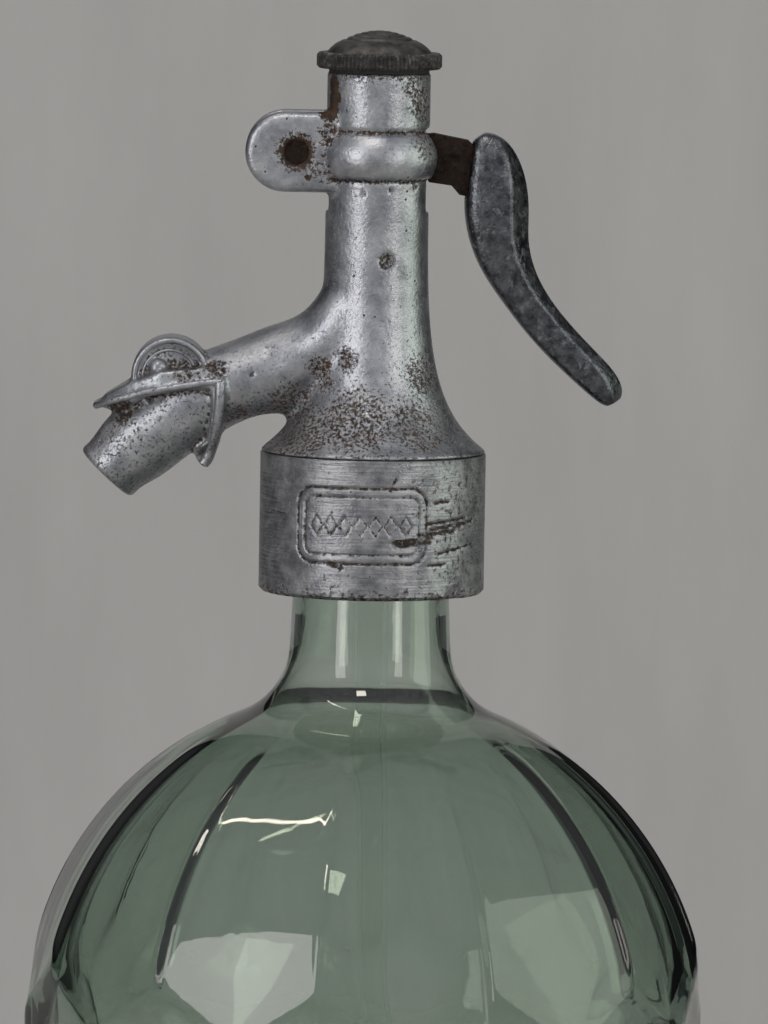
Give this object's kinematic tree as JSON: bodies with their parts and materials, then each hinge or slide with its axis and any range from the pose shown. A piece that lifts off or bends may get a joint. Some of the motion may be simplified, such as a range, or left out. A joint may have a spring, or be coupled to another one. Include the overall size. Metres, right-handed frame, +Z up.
{
  "type": "soda siphon",
  "caption": "Fluted glass soda siphon with a cast metal head, bird-head spout, side lever and spring-closed plunger valve.",
  "frame": {"origin": "centre of the bottle's foot, on the plane it stands on", "axes": "+Z up along the bottle, spout towards -X, lever grip towards +X"},
  "size_m": [0.1174, 0.1174, 0.31],
  "materials": {
    "green_glass": "fire-polished pressed glass, grey-green",
    "head_metal": "old cast metal, pitted, dirt in the corners",
    "collar_metal": "turned, scratched",
    "dark_metal": "dark lead-grey casting, handled smooth",
    "rusty_steel": "rusted flat steel",
    "spring_steel": "drawn wire",
    "brass": "turned",
    "rubber": "moulded",
    "clear_tube": "drawn clear tube"
  },
  "bodies": {
    "siphon": {"bottle": "green_glass", "collar_ring": "collar_metal", "split_ring": "brass", "neck_gasket": "rubber", "head_casting": "head_metal", "cap": "dark_metal", "cap_gasket": "rubber", "pivot_pin": "rusty_steel", "return_spring": "spring_steel", "packing_gland": "brass", "packing_washer": "rubber", "valve_seat": "brass", "seat_gasket": "rubber", "tube_holder": "brass", "tube_sleeve": "rubber", "dip_tube": "clear_tube"},
    "lever": {"lever_bar": "rusty_steel", "lever_grip": "dark_metal"},
    "valve": {"plunger": "brass", "spring_washer": "brass", "valve_washer": "rubber", "valve_disc": "brass", "retaining_nut": "brass"}
  },
  "joints": [
    {"name": "lever_pivot", "type": "hinge", "parent": "siphon", "child": "lever", "pos_m": [-0.0137, 0, 0.2895], "axis": [0, 1, 0], "range_deg": [0, 11], "stiffness_Nm_per_rad": 0.28, "springref_deg": -8.59},
    {"name": "plunger_slide", "type": "slide", "parent": "siphon", "child": "valve", "axis": [0, 0, -1], "range_m": [0, 0.0027], "deforming": ["return_spring"]}
  ],
  "couplings": [
    {"joint": "plunger_slide", "follows": "lever_pivot", "m_per_rad": 0.0137}
  ]
}
